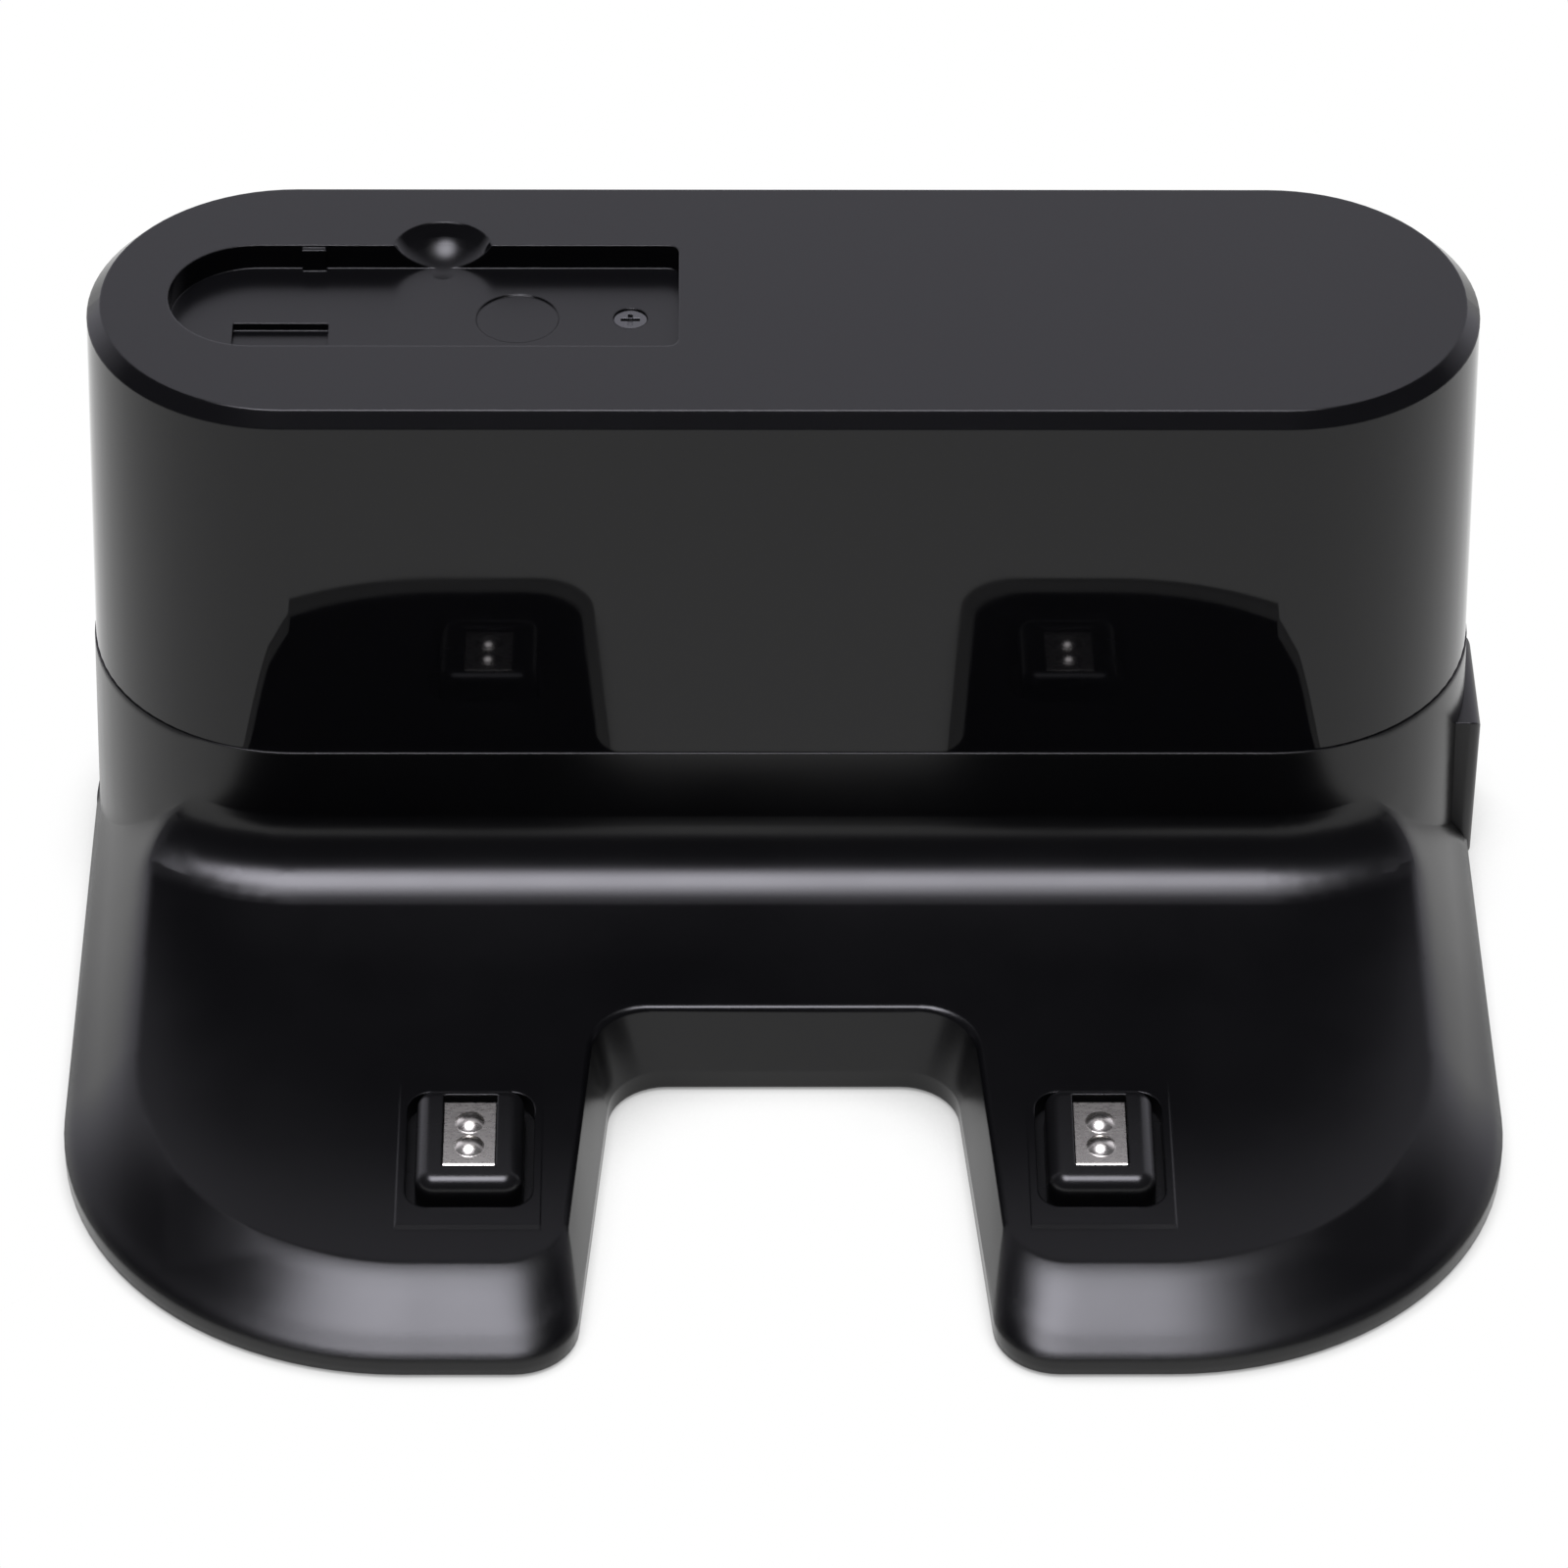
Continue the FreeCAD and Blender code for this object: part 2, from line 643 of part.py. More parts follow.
def block_shape(side):
    """Floating block with rounded shoulders and a flange that holds it in."""
    centre = side * S.contact_x
    profile = [(BLOCK_FRONT, S.block_bottom), (BLOCK_FRONT, block_top(BLOCK_FRONT)),
               (BLOCK_BACK, block_top(BLOCK_BACK)), (BLOCK_BACK, S.block_bottom)]
    body = prism(profile, centre - BLOCK_HALF_WIDTH, centre + BLOCK_HALF_WIDTH)
    body = body.makeFillet(S.block_corner, upright_edges(body))
    shoulders = [edge for edge in body.Edges
                 if all(abs(v.Z - block_top(v.Y)) < 1e-4 for v in edge.Vertexes)]
    body = body.makeFillet(S.block_round, shoulders)
    front, back = BLOCK_FRONT - S.flange_reach, BLOCK_BACK + S.flange_reach
    under = S.casing_wall + S.flange_gap
    flange = prism([(front, S.block_bottom), (front, ramp(front) - under), (back, ramp(back) - under),
                    (back, S.block_bottom)],
                   centre - BLOCK_HALF_WIDTH - S.flange_reach, centre + BLOCK_HALF_WIDTH + S.flange_reach)
    flange = flange.makeFillet(S.opening_corner, upright_edges(flange))
    gap = S.slot_gap
    slot = prism(strip(CONTACT_PLATE_FRONT - gap, CONTACT_PLATE_BACK + S.slot_back_gap, -PAST, S.plate_sunk),
                 centre - S.plate_half_width - gap, centre + S.plate_half_width + gap)
    return body.fuse(flange).cut(slot)


def contact_plate_shape(side):
    """Pressed plate with a rolled front edge and two rounded contact points."""
    centre = side * S.contact_x
    profile = strip(CONTACT_PLATE_FRONT, CONTACT_PLATE_BACK, S.plate_sunk - S.plate_sheet, S.plate_sunk)
    plate = prism(profile, centre - S.plate_half_width, centre + S.plate_half_width)
    front_top = Vector(centre, *profile[1])
    rolled = [edge for edge in plate.Edges if edge.CenterOfMass.distanceToPoint(front_top) < 1e-4]
    plate = plate.makeFillet(S.plate_round, rolled)
    curve = (S.dome_radius ** 2 + S.dome_height ** 2) / (2 * S.dome_height)
    sunk = S.plate_sheet / 2
    latitude = math.degrees(math.asin((curve - S.dome_height - sunk) / curve))
    middle = -S.contact_y + S.plate_offset
    for step in (-0.5, 0.5):
        y = middle + step * S.dome_spacing
        top = block_top(y) - S.plate_sunk + S.plate_sheet + S.dome_height
        tilt = Rotation(Vector(1, 0, 0), S.contact_angle)
        dome = Part.makeSphere(curve, Vector(), Vector(0, 0, 1), latitude, 90, 360)
        dome.Placement = Placement(Vector(centre, y, top) - tilt.multVec(Vector(0, 0, curve)), tilt)
        plate = plate.fuse(dome)
    return plate


def spring_shape(side):
    """Coil spring from the terminal up into the block's bore."""
    low = PLATE_TOP + S.terminal_sheet + S.spring_wire
    height = S.spring_top - S.spring_wire - low
    helix = Part.makeHelix(height / S.spring_turns, height, S.spring_radius)
    ring = Part.Wire(Part.makeCircle(S.spring_wire, Vector(S.spring_radius, 0, 0), Vector(0, 1, 0)))
    coil = Part.Wire(helix.Edges).makePipeShell([ring], True, True)
    coil.translate(Vector(side * S.contact_x, -S.contact_y, low))
    return coil


def run_shape(points, radius):
    """Round wire through a list of points, with a ball at each turn."""
    stretches = []
    for first, last in zip(points, points[1:]):
        stretches.append(Part.makeCylinder(radius, first.distanceToPoint(last), first, last - first))
    balls = [Part.makeSphere(radius, point) for point in points[1:-1]]
    return stretches[0].fuse(stretches[1:] + balls)


def make_contacts():
    floor = "foot_stand + plate_thickness"
    for name, side in SIDES.items():
        x = f"{side} * contact_x"
        bore = cylinder(f"spring_bore_{name}", "spring_radius + spring_wire + spring_room",
                        f"spring_top - block_bottom + {PAST}", (x, "-contact_y", f"block_bottom - {PAST}"))
        block = solid(f"block_body_{name}", block_shape(side))
        node(cut(f"contact_block_{name}", block, [bore]), f"contact_block_{name}")
        node(solid(f"contact_plate_{name}", contact_plate_shape(side)), f"contact_plate_{name}")
        node(solid(f"contact_spring_{name}", spring_shape(side)), f"contact_spring_{name}")
        strip_body = box(f"terminal_strip_{name}",
                         (f"{x} - terminal_half_width", f"{x} + terminal_half_width"),
                         ("-contact_y - terminal_front", "terminal_tail - contact_y"),
                         (floor, f"{floor} + terminal_sheet"))
        hole = cylinder(f"terminal_hole_{name}", "spring_radius - spring_wire - spring_room + screw_gap",
                        f"terminal_sheet + {2 * PAST}", (x, "-contact_y", f"{floor} - {PAST}"))
        node(cut(f"spring_terminal_{name}", strip_body, [hole]), f"spring_terminal_{name}")
        node(solid(f"contact_lead_{name}", contact_lead_shape(side)), f"contact_lead_{name}")


def contact_lead_shape(side):
    """Wire from a terminal's tail along the bottom plate and up to the board's lower edge."""
    low = PLATE_TOP + S.lead_radius
    board_y = S.board_front + S.board_thickness / 2
    turn_x = S.emitter_far_x - S.emitter_radius
    points = [Vector(side * S.contact_x, S.terminal_tail - S.contact_y, low),
              Vector(side * S.contact_x, -S.tower_half_width, low),
              Vector(side * turn_x, board_y, low),
              Vector(side * turn_x, board_y, S.board_low)]
    return run_shape(points, S.lead_radius)


# Board and emitters

def make_board():
    middle = "(board_low + board_high) / 2"
    sheet_body = box("board_sheet", ("-board_half_length", "board_half_length"),
                     ("board_front", "board_front + board_thickness"), ("board_low", "board_high"))
    holes = []
    for name, side in SIDES.items():
        holes.append(cylinder(f"board_hole_{name}", "screw_shank_radius + screw_gap",
                              f"board_thickness + {2 * PAST}",
                              (f"{side} * board_screw_x", f"board_front - {PAST}", middle), "y"))
        head = cylinder(f"board_screw_head_{name}", "screw_head_radius", "screw_head_height",
                        (f"{side} * board_screw_x", "board_front - screw_head_height", middle), "y")
        shank = cylinder(f"board_screw_shank_{name}", "screw_shank_radius",
                         "board_thickness + screw_length - plate_gap",
                         (f"{side} * board_screw_x", "board_front", middle), "y")
        node(fuse(f"board_screw_{name}", [head, shank]), f"board_screw_{name}")
    node(cut("control_board", sheet_body, holes), "control_board")


def emitter_places():
    return ["-emitter_far_x", "-emitter_near_x", "emitter_near_x", "emitter_far_x"]


def make_emitters():
    middle = "(board_low + board_high) / 2"
    ways = []
    for number, x in enumerate(emitter_places(), 1):
        stem = cylinder(f"emitter_stem_{number}", "emitter_radius", "emitter_length",
                        (x, "board_front - emitter_length", middle), "y")
        dome = sphere(f"emitter_dome_{number}", "emitter_radius",
                      (x, "board_front - emitter_length", middle))
        node(fuse(f"ir_emitter_{number}", [stem, dome]), f"ir_emitter_{number}")
        ways.append(cylinder(f"baffle_way_{number}", "emitter_radius + emitter_gap",
                             f"baffle_depth + {2 * PAST}",
                             (x, f"board_front - baffle_depth - {PAST}", middle), "y"))
    bar = box("baffle_bar", ("-baffle_half_length", "baffle_half_length"),
              ("board_front - baffle_depth", "board_front"),
              (f"{middle} - baffle_half_height", f"{middle} + baffle_half_height"))
    node(cut("emitter_baffle", bar, ways), "emitter_baffle")


# Power inlet

def inlet_shape():
    """Rounded block that stands on the bottom plate and reaches the floor line outside it."""
    wall_x = S.end_reach - S.casing_wall
    deep = S.inlet_face - S.inlet_depth
    half = S.inlet_half_width
    outer = Part.makeBox(S.inlet_face - wall_x, 2 * half, S.inlet_top - S.foot_stand,
                         Vector(wall_x, -half, S.foot_stand))
    edges = [edge for edge in outer.Edges
             if all(abs(v.X - S.inlet_face) < 1e-6 for v in edge.Vertexes)
             and max(v.Z for v in edge.Vertexes) > S.inlet_top - PAST]
    outer = outer.makeFillet(S.inlet_round, edges)
    inner = Part.makeBox(wall_x - deep, 2 * half, S.inlet_top - PLATE_TOP, Vector(deep, -half, PLATE_TOP))
    return outer.fuse(inner).removeSplitter()


def make_inlet():
    way = cylinder("jack_way", "jack_radius + screw_gap", f"inlet_depth + {2 * PAST}",
                   (f"inlet_face - inlet_depth - {PAST}", "0", "jack_height"), "x")
    node(cut("inlet_housing", solid("inlet_body", inlet_shape()), [way]), "inlet_housing")
    barrel = cylinder("jack_barrel", "jack_radius", "jack_length",
                      ("inlet_face - jack_length", "0", "jack_height"), "x")
    bore = cylinder("jack_bore_cut", "jack_bore", f"jack_bore_depth + {PAST}",
                    ("inlet_face - jack_bore_depth", "0", "jack_height"), "x")
    node(cut("dc_jack", barrel, [bore]), "dc_jack")
    node(cylinder("jack_pin", "jack_pin_radius", "jack_bore_depth - casing_wall / 2",
                  ("inlet_face - jack_bore_depth", "0", "jack_height"), "x"), "jack_pin")
    node(solid("power_lead", power_lead_shape()), "power_lead")


def power_lead_shape():
    """Wire from the back of the jack to the board's lower edge."""
    board_y = S.board_front + S.board_thickness / 2
    back = S.inlet_face - S.jack_length
    up_x = S.board_half_length - S.boss_radius
    points = [Vector(back, 0, S.jack_height), Vector(back - 2 * S.jack_radius, 0, S.jack_height),
              Vector(up_x, board_y, S.inlet_top), Vector(up_x, board_y, S.board_low)]
    return run_shape(points, S.power_lead_radius)


make_upper_casing()
make_lower_casing()
make_bottom_plate()
make_feet()
make_base_screws()
make_pocket_screw()
make_contacts()
make_board()
make_emitters()
make_inlet()
doc.recompute()

failed = [item.Name for item in doc.Objects if {"Invalid", "Error"} & set(item.State)]
for item in nodes:
    if item.Shape.isNull() or not item.Shape.isValid() or not item.Shape.Solids:
        failed.append(item.Label)
if failed:
    raise RuntimeError(f"These objects failed: {failed}")
for item in nodes:
    item.Shape.exportStep(f"parts/{item.Label}.step")
    print(item.Label, "solids", len(item.Shape.Solids), "volume", round(item.Shape.Volume, 1))
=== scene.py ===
import json
import math

import bpy
from mathutils import Matrix, Vector

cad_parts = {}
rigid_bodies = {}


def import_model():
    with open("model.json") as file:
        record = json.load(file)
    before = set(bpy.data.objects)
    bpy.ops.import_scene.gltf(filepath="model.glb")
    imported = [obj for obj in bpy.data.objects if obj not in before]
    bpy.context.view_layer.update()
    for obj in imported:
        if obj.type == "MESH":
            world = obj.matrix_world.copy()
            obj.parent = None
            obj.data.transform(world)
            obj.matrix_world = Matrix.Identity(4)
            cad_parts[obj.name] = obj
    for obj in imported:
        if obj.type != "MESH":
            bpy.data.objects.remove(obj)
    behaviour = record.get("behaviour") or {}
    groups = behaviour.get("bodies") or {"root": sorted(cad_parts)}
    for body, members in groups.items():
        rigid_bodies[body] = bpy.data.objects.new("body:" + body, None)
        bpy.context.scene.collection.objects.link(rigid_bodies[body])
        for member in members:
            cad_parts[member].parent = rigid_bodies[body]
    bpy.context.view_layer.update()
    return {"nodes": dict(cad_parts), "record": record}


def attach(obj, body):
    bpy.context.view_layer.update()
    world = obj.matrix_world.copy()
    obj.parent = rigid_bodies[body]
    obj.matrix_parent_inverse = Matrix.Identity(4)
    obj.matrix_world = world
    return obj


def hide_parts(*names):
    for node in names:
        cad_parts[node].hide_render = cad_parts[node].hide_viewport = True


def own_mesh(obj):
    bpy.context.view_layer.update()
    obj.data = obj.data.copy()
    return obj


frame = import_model()
nodes = frame["nodes"]
slots = {subpart["node"]: subpart["material_slot"] for subpart in frame["record"]["subparts"]}

# Lengths are metres, as in the frame, angles are degrees, and the lens and its sensor are millimetres
MM = 0.001

# Camera, matched to the photograph's edges
CAMERA_PLACE = Vector((-9.45, -747.5, 616.5)) * MM
CAMERA_YAW = -0.764
CAMERA_PITCH = 39.30
CAMERA_ROLL = 0.484
CAMERA_LENS = 167.6
CAMERA_SENSOR = 36.0

# Studio light by direction: a white backdrop, dim on the camera's side above the horizon, and a glow overhead
LIGHT_TINT = (0.97, 0.955, 1.06, 1)
BACKDROP_LOW = 1.05
BACKDROP_HIGH = 0.2
BACKDROP_FADE = (0.66, 0.90)
HORIZON_FADE = (-0.02, 0.03)
FRONT_SHARE = 0.08
FRONT_TURN = (0.2, 0.6)
GLOW = 13.0
GLOW_CENTRE = Vector((-0.09, -0.17, 0.981))
GLOW_EDGE = (0.925, 1.0)

# Overhead softbox
BOX_PLACE = Vector((0, -0.08, 0.80))
BOX_WIDTH = 0.50
BOX_DEPTH = 0.40
BOX_POWER = 0.6

# Floor, and the painted soft shadow round the foot of the dock, where occlusion dims the floor's white glow
FLOOR_HALF = 2.0
FLOOR_ALBEDO = 0.56
FLOOR_ROUGHNESS = 0.9
FLOOR_DROP = 0.02 * MM
SHADOW_REACH = 18 * MM
SHADOW_LEVEL = 0.05
SHADOW_SAMPLES = 16
OPEN_FLOOR = 0.7

# Faces that meet at less than this angle are shaded as one curve
SMOOTH_ANGLE = 32.0

# Soft edge of the satin casing along its outer crest, which lies past these distances to the side and front
CREST_EDGE = 1.6 * MM
CREST_SIDE = 74.0 * MM
CREST_FRONT = 91.0 * MM
CREST_TURN = (1.0, 1.04)

# Wider soft edge on the slopes outside the crest, from low down to high up, which makes them look crowned.
# A slope's normal has about this upward share, give or take the room.
SLOPE_EDGE = (2.8 * MM, 6.0 * MM)
SLOPE_RISE = (4.2 * MM, 7.2 * MM)
SLOPE_FACING = 0.70
SLOPE_FACING_ROOM = 0.25

# Soft edge where a sloped side runs into the tower's round end
BLEND_EDGE = 3.5 * MM
BLEND_CENTRE = Vector((86.0, 11.0, 9.5)) * MM
BLEND_REACH = (8.0 * MM, 13.0 * MM)

# Roughness of the casing's top, and how far up a face must look to have it
TOP_ROUGHNESS = 0.27
TOP_FACING = (0.6, 0.8)

# Plastics: dark and light shade, least and most roughness, index of refraction, soft edge in mm,
# and the grain's scale, depth in mm and strength
PLASTICS = {
    "gloss_black": ((0.0030, 0.0030, 0.0034), (0.0040, 0.0040, 0.0046), (0.025, 0.045), 1.38, 0.35,
                    (300, 0.002, 0.05)),
    "satin_black": ((0.0018, 0.0018, 0.0021), (0.0026, 0.0026, 0.0030), (0.22, 0.26), 1.42, 0.35,
                    (2600, 0.03, 0.10)),
    "plate_black": ((0.010, 0.010, 0.011), (0.013, 0.013, 0.014), (0.45, 0.55), 1.45, 0.30,
                    (2200, 0.03, 0.40)),
    "block_black": ((0.0040, 0.0040, 0.0043), (0.0060, 0.0060, 0.0063), (0.24, 0.32), 1.45, 0.35,
                    (3000, 0.02, 0.30)),
    "inlet_black": ((0.0040, 0.0040, 0.0043), (0.0060, 0.0060, 0.0063), (0.30, 0.40), 1.45, 0.40,
                    (2600, 0.03, 0.35)),
    "foot_rubber": ((0.018, 0.018, 0.018), (0.024, 0.024, 0.023), (0.70, 0.80), 1.45, 0.40,
                    (1500, 0.05, 0.50)),
    "board_green": ((0.010, 0.075, 0.030), (0.014, 0.095, 0.038), (0.30, 0.40), 1.50, 0.10,
                    (1200, 0.02, 0.20)),
    "emitter_blue": ((0.012, 0.010, 0.035), (0.018, 0.014, 0.050), (0.05, 0.10), 1.50, 0.20,
                     (600, 0.005, 0.10)),
    "lead_red": ((0.28, 0.012, 0.010), (0.34, 0.018, 0.014), (0.40, 0.50), 1.48, 0.10,
                 (900, 0.02, 0.20)),
    "lead_black": ((0.012, 0.012, 0.012), (0.018, 0.018, 0.018), (0.40, 0.50), 1.48, 0.10,
                   (900, 0.02, 0.20)),
}

# Metals: dark and light shade, least and most roughness, soft edge in mm, and how the marks are stretched
METALS = {
    "nickel": ((0.72, 0.69, 0.64), (0.80, 0.77, 0.72), (0.26, 0.31), 0.15, (1, 4, 1)),
    "spring_steel": ((0.50, 0.50, 0.50), (0.60, 0.60, 0.60), (0.20, 0.30), 0.05, (1, 1, 1)),
    "screw_steel": ((0.42, 0.42, 0.42), (0.52, 0.52, 0.52), (0.25, 0.35), 0.10, (1, 1, 1)),
    "dark_steel": ((0.09, 0.09, 0.093), (0.14, 0.14, 0.145), (0.22, 0.32), 0.12, (1, 1, 1)),
    "brass_strip": ((0.60, 0.42, 0.18), (0.70, 0.52, 0.24), (0.20, 0.30), 0.10, (1, 1, 1)),
}

# Rays that look for a soft edge
EDGE_SAMPLES = 6

# Fineness of the noise and of a plastic's grain, and the part of the noise's span that is used
NOISE_DETAIL = 3.0
GRAIN_DETAIL = 2.0
NOISE_ROUGHNESS = 0.55
NOISE_SPAN = (0.35, 0.65)

# Drift of a plastic's shade, and the marks on a metal
DRIFT_SCALE = 40.0
MARK_SCALE = 900.0
MARK_DEPTH = 0.01 * MM
MARK_STRENGTH = 0.05


# Shader helpers

def new_material(name):
    material = bpy.data.materials.new(name)
    material.use_nodes = True
    tree = material.node_tree
    return material, tree, tree.nodes["Principled BSDF"]


def add(tree, kind, **values):
    item = tree.nodes.new(kind)
    for key, value in values.items():
        setattr(item, key, value)
    return item


def noise(tree, scale, detail=NOISE_DETAIL, stretch=(1, 1, 1)):
    """Noise in the object's own metres, so that grain keeps its real size."""
    place = add(tree, "ShaderNodeTexCoord")
    mapping = add(tree, "ShaderNodeMapping")
    mapping.inputs["Scale"].default_value = stretch
    texture = add(tree, "ShaderNodeTexNoise")
    texture.inputs["Scale"].default_value = scale
    texture.inputs["Detail"].default_value = detail
    texture.inputs["Roughness"].default_value = NOISE_ROUGHNESS
    tree.links.new(place.outputs["Object"], mapping.inputs["Vector"])
    tree.links.new(mapping.outputs["Vector"], texture.inputs["Vector"])
    return texture.outputs["Fac"]


def spread(tree, source, low, high, start, end, kind="LINEAR"):
    """Value that goes from low to high while the source goes from start to end."""
    ramp = add(tree, "ShaderNodeMapRange", interpolation_type=kind)
    ramp.inputs["From Min"].default_value = start
    ramp.inputs["From Max"].default_value = end
    ramp.inputs["To Min"].default_value = low
    ramp.inputs["To Max"].default_value = high
    tree.links.new(source, ramp.inputs["Value"])
    return ramp.outputs["Result"]


def tint(tree, source, dark, light):
    """Colour that drifts between two close shades."""
    mix = add(tree, "ShaderNodeMix", data_type="RGBA")
    mix.inputs["A"].default_value = (*dark, 1)
    mix.inputs["B"].default_value = (*light, 1)
    tree.links.new(source, mix.inputs["Factor"])
    return mix.outputs["Result"]


def join(tree, operation, first, second):
    """One value from two, such as the larger or the product."""
    result = add(tree, "ShaderNodeMath", operation=operation)
    tree.links.new(first, result.inputs[0])
    tree.links.new(second, result.inputs[1])
    return result.outputs["Value"]


def larger(tree, first, second):
    return join(tree, "MAXIMUM", first, second)


def axes(tree, vector):
    """Outputs X, Y and Z of a vector."""
    split = add(tree, "ShaderNodeSeparateXYZ")
    tree.links.new(vector, split.inputs["Vector"])
    return split.outputs


def facing_up(tree):
    """Upward share of a face's own normal."""
    shape = add(tree, "ShaderNodeNewGeometry")
    return axes(tree, shape.outputs["True Normal"])["Z"]


def round_edges(tree, radius, grain, depth, strength):
    """Normal with softened edges and a surface grain."""
    bevel = add(tree, "ShaderNodeBevel", samples=EDGE_SAMPLES)
    bevel.inputs["Radius"].default_value = radius
    bump = add(tree, "ShaderNodeBump")
    bump.inputs["Strength"].default_value = strength
    bump.inputs["Distance"].default_value = depth
    tree.links.new(grain, bump.inputs["Height"])
    tree.links.new(bevel.outputs["Normal"], bump.inputs["Normal"])
    return bump.outputs["Normal"]


def plastic(name, dark, light, roughness, ior, edge, grain):
    """Moulded plastic with a fine grain, close shades of one colour and uneven gloss."""
    material, tree, shader = new_material(name)
    shader.inputs["IOR"].default_value = ior
    drift = noise(tree, DRIFT_SCALE)
    tree.links.new(tint(tree, drift, dark, light), shader.inputs["Base Color"])
    tree.links.new(spread(tree, drift, *roughness, *NOISE_SPAN), shader.inputs["Roughness"])
    scale, depth, strength = grain
    normal = round_edges(tree, edge * MM, noise(tree, scale, GRAIN_DETAIL), depth * MM, strength)
    tree.links.new(normal, shader.inputs["Normal"])
    return material


def metal(name, dark, light, roughness, edge, stretch):
    """Bare or plated metal with a drawn or pressed finish."""
    material, tree, shader = new_material(name)
    shader.inputs["Metallic"].default_value = 1.0
    marks = noise(tree, MARK_SCALE, stretch=stretch)
    tree.links.new(tint(tree, marks, dark, light), shader.inputs["Base Color"])
    tree.links.new(spread(tree, marks, *roughness, *NOISE_SPAN), shader.inputs["Roughness"])
    normal = round_edges(tree, edge * MM, marks, MARK_DEPTH, MARK_STRENGTH)
    tree.links.new(normal, shader.inputs["Normal"])
    return material


def outer_share(tree, place):
    """1 on the outer crest and slopes, and 0 inside them."""
    reach = add(tree, "ShaderNodeVectorMath", operation="DIVIDE")
    reach.inputs[1].default_value = (CREST_SIDE, CREST_FRONT, 1)
    tree.links.new(place, reach.inputs[0])
    along = axes(tree, reach.outputs["Vector"])
    return spread(tree, larger(tree, along["X"], along["Y"]), 0, 1, *CREST_TURN)


def crown_radius(tree, place, share):
    """Soft edge of the outer slopes, and 0 elsewhere."""
    sloped = add(tree, "ShaderNodeMath", operation="COMPARE")
    tree.links.new(facing_up(tree), sloped.inputs[0])
    sloped.inputs[1].default_value = SLOPE_FACING
    sloped.inputs[2].default_value = SLOPE_FACING_ROOM
    on_slope = join(tree, "MULTIPLY", share, sloped.outputs["Value"])
    rising = spread(tree, axes(tree, place)["Z"], *SLOPE_EDGE, *SLOPE_RISE)
    return join(tree, "MULTIPLY", rising, on_slope)


def blend_radius(tree, place):
    """Soft edge where a sloped side runs into the tower's round end, and 0 elsewhere."""
    away = add(tree, "ShaderNodeVectorMath", operation="DISTANCE")
    away.inputs[1].default_value = BLEND_CENTRE
    tree.links.new(place, away.inputs[0])
    return spread(tree, away.outputs["Value"], BLEND_EDGE, 0, *BLEND_REACH)


def soften_satin(material):
    """Widen the soft edge along the outer crest, on the slopes and at the tower's round ends."""
    tree = material.node_tree
    radius = tree.nodes["Bevel"].inputs["Radius"]
    coordinates = add(tree, "ShaderNodeTexCoord")
    mirrored = add(tree, "ShaderNodeVectorMath", operation="ABSOLUTE")
    tree.links.new(coordinates.outputs["Object"], mirrored.inputs[0])
    place = mirrored.outputs["Vector"]
    share = outer_share(tree, place)
    crest = spread(tree, share, radius.default_value, CREST_EDGE, 0, 1)
    widest = larger(tree, crown_radius(tree, place, share), larger(tree, crest, blend_radius(tree, place)))
    tree.links.new(widest, radius)


def satin_top(material):
    """Leave the walls glossy and make the faces that look up satin."""
    tree = material.node_tree
    rough = tree.nodes["Principled BSDF"].inputs["Roughness"]
    mix = add(tree, "ShaderNodeMix")
    tree.links.new(spread(tree, facing_up(tree), 0, 1, *TOP_FACING), mix.inputs["Factor"])
    tree.links.new(rough.links[0].from_socket, mix.inputs["A"])
    mix.inputs["B"].default_value = TOP_ROUGHNESS
    tree.links.new(mix.outputs["Result"], rough)


def make_materials():
    materials = {}
    for name, finish in PLASTICS.items():
        materials[name] = plastic(name, *finish)
    for name, finish in METALS.items():
        materials[name] = metal(name, *finish)
    return materials


def dress_nodes():
    """Give every CAD node its slot's finish and smooth its curved faces."""
    materials = make_materials()
    soften_satin(materials["satin_black"])
    satin_top(materials["gloss_black"])
    for name, slot in slots.items():
        item = nodes[name]
        item.data.materials.clear()
        item.data.materials.append(materials[slot])
        item.data.shade_smooth()
        item.data.set_sharp_from_angle(angle=math.radians(SMOOTH_ANGLE))


def make_springs():
    """Copies of the frame's springs, each on its joint's parent with a mesh of its own, in place of the
    frame's rigid ones, which are hidden.
    """
    for joint in frame["record"]["behaviour"]["joints"]:
        for row in joint["deforming_nodes"]:
            name = row["node"]
            spring = bpy.data.objects.new(f"{name}_coil", nodes[name].data.copy())
            bpy.context.scene.collection.objects.link(spring)
            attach(spring, joint["parent"])
            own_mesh(spring)
            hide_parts(name)


# Stage

def seen_and_lit(tree, seen, lit):
    """One shader for what the camera, reflections and glass show, and another for the light it passes on."""
    path = add(tree, "ShaderNodeLightPath")
    mirrored = larger(tree, path.outputs["Is Glossy Ray"], path.outputs["Is Transmission Ray"])
    mix = add(tree, "ShaderNodeMixShader")
    tree.links.new(larger(tree, path.outputs["Is Camera Ray"], mirrored), mix.inputs["Fac"])
    tree.links.new(lit, mix.inputs[1])
    tree.links.new(seen, mix.inputs[2])
    return mix.outputs["Shader"]


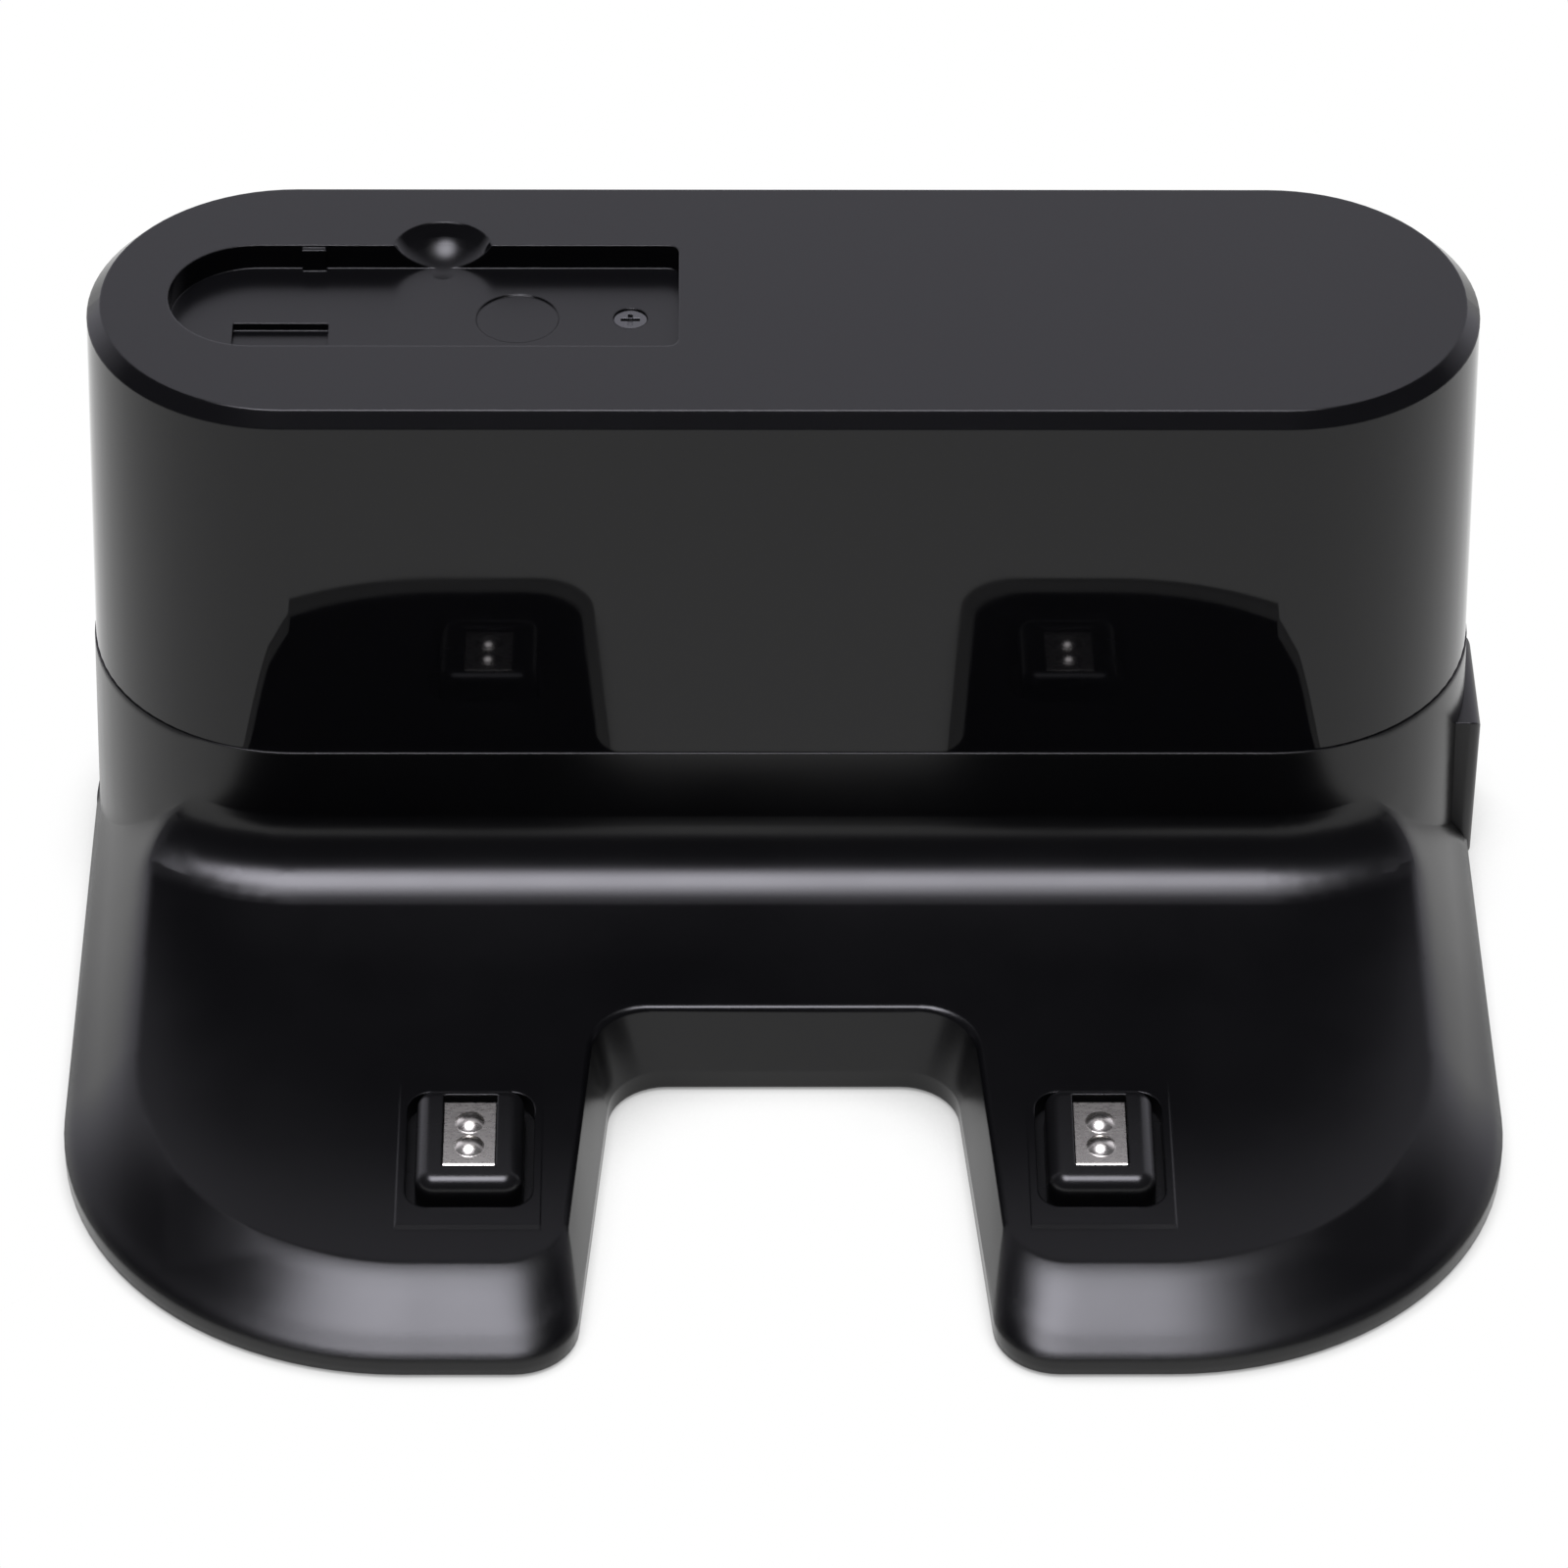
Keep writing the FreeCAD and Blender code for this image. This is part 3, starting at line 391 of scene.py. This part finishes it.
def make_floor():
    """Pale floor that looks plain white, with a painted soft shadow round the foot of the dock."""
    mesh = bpy.data.meshes.new("floor")
    half = FLOOR_HALF
    corners = [(-half, -half, 0), (half, -half, 0), (half, half, 0), (-half, half, 0)]
    mesh.from_pydata(corners, [], [(0, 1, 2, 3)])
    floor = bpy.data.objects.new("floor", mesh)
    floor.location.z = -FLOOR_DROP
    bpy.context.scene.collection.objects.link(floor)
    material, tree, shader = new_material("floor_white")
    shader.inputs["Base Color"].default_value = (FLOOR_ALBEDO, FLOOR_ALBEDO, FLOOR_ALBEDO, 1)
    shader.inputs["Roughness"].default_value = FLOOR_ROUGHNESS
    # Painted shadow: occlusion near the dock dims the white glow that the camera and reflections see; no lamp
    # casts it
    painted_shadow_occlusion = add(tree, "ShaderNodeAmbientOcclusion", samples=SHADOW_SAMPLES)
    painted_shadow_occlusion.inputs["Distance"].default_value = SHADOW_REACH
    white = add(tree, "ShaderNodeEmission")
    shade = spread(tree, painted_shadow_occlusion.outputs["AO"], SHADOW_LEVEL, 1, 0, OPEN_FLOOR)
    tree.links.new(shade, white.inputs["Strength"])
    mixed = seen_and_lit(tree, white.outputs["Emission"], shader.outputs["BSDF"])
    tree.links.new(mixed, tree.nodes["Material Output"].inputs["Surface"])
    mesh.materials.append(material)


def make_sky():
    """White backdrop, dim on the camera's side above the horizon, with a glow overhead."""
    world = bpy.data.worlds.new("studio")
    world.use_nodes = True
    bpy.context.scene.world = world
    tree = world.node_tree
    sky = tree.nodes["Background"]
    sky.inputs["Color"].default_value = LIGHT_TINT
    place = add(tree, "ShaderNodeTexCoord")
    heading = axes(tree, place.outputs["Generated"])
    backdrop = spread(tree, heading["Z"], BACKDROP_LOW, BACKDROP_HIGH, *BACKDROP_FADE)
    behind = spread(tree, heading["Y"], FRONT_SHARE, 1, *FRONT_TURN)
    low_down = spread(tree, heading["Z"], 1, 0, *HORIZON_FADE)
    nearness = add(tree, "ShaderNodeVectorMath", operation="DOT_PRODUCT")
    nearness.inputs[1].default_value = GLOW_CENTRE
    tree.links.new(place.outputs["Generated"], nearness.inputs[0])
    glow = spread(tree, nearness.outputs["Value"], 0, GLOW, *GLOW_EDGE, kind="SMOOTHSTEP")
    light = add(tree, "ShaderNodeMath", operation="MULTIPLY_ADD")
    for source, socket in zip((backdrop, larger(tree, behind, low_down), glow), light.inputs):
        tree.links.new(source, socket)
    tree.links.new(light.outputs["Value"], sky.inputs["Strength"])


def make_softbox():
    """One large lamp overhead, facing straight down."""
    lamp = bpy.data.lights.new("overhead", "AREA")
    lamp.shape = "RECTANGLE"
    lamp.size = BOX_WIDTH
    lamp.size_y = BOX_DEPTH
    lamp.energy = BOX_POWER
    item = bpy.data.objects.new("overhead", lamp)
    item.location = BOX_PLACE
    bpy.context.scene.collection.objects.link(item)


def make_camera():
    lens = bpy.data.cameras.new("camera")
    lens.sensor_width = CAMERA_SENSOR
    lens.lens = CAMERA_LENS
    camera = bpy.data.objects.new("camera", lens)
    turn = (Matrix.Rotation(math.radians(CAMERA_YAW), 4, "Z")
            @ Matrix.Rotation(math.radians(90 - CAMERA_PITCH), 4, "X")
            @ Matrix.Rotation(math.radians(CAMERA_ROLL), 4, "Z"))
    camera.matrix_world = Matrix.Translation(CAMERA_PLACE) @ turn
    bpy.context.scene.collection.objects.link(camera)
    bpy.context.scene.camera = camera


dress_nodes()
make_springs()
make_floor()
make_sky()
make_softbox()
make_camera()
bpy.context.scene.view_settings.view_transform = "Standard"
